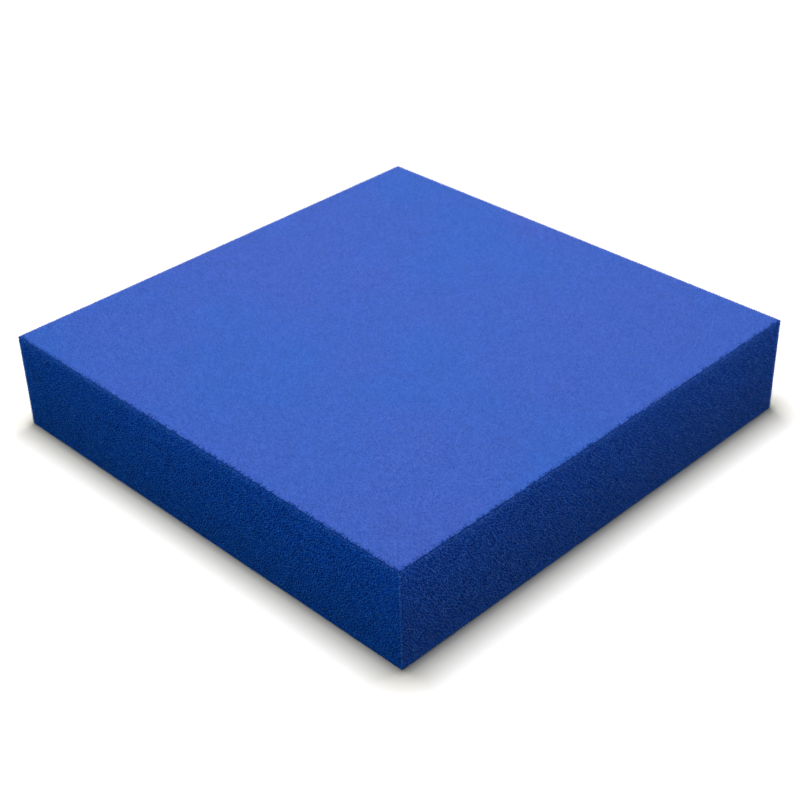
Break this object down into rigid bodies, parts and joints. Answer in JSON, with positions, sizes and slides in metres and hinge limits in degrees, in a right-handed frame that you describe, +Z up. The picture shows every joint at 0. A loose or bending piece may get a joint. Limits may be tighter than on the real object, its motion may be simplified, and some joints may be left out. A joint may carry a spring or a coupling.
{
  "type": "filter sponge",
  "caption": "Square slab of blue open-cell foam that strains and biologically filters pond water passing through its thickness.",
  "frame": {"origin": "middle of the slab's underside", "axes": "+Z up through the 97 mm thickness, which is the way water flows; +X and +Y along the two equal 500 mm sides"},
  "size_m": [0.5, 0.5, 0.097],
  "materials": {
    "blue_foam": "matte"
  },
  "bodies": {
    "root": {"foam_block": "blue_foam"}
  },
  "joints": []
}
